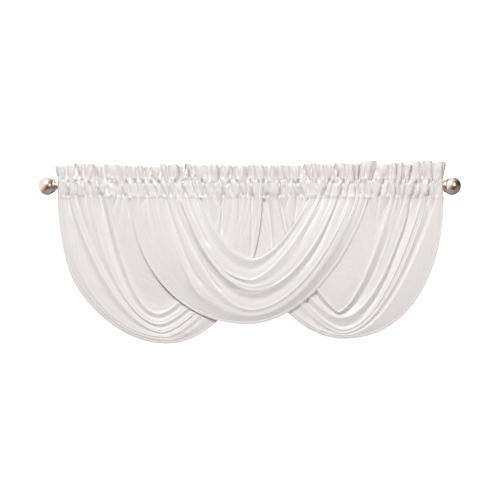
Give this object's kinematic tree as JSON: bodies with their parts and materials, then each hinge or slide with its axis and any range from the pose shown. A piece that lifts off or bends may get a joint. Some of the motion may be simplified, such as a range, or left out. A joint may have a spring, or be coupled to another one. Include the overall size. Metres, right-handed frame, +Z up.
{
  "type": "swag valance on a curtain rod",
  "caption": "Gathered white satin valance with two side swags and an overlapping centre swag, hung by its rod pocket on a plain rod with ball finials.",
  "frame": {"origin": "middle of the rod's length, on its axis, where wall brackets carry the rod", "axes": "+X along the rod to the right as seen from the room, +Y towards the wall, +Z up; the front faces -Y"},
  "size_m": [1.1312, 0.0707, 0.4905],
  "materials": {
    "satin_cloth": "white satin weave polyester with a soft sheen",
    "satin_nickel": "warm satin nickel plate"
  },
  "bodies": {
    "root": {"rod": "satin_nickel", "finial_left": "satin_nickel", "finial_right": "satin_nickel", "heading": "satin_cloth", "swag_left": "satin_cloth", "swag_right": "satin_cloth", "swag_centre": "satin_cloth"}
  },
  "joints": []
}
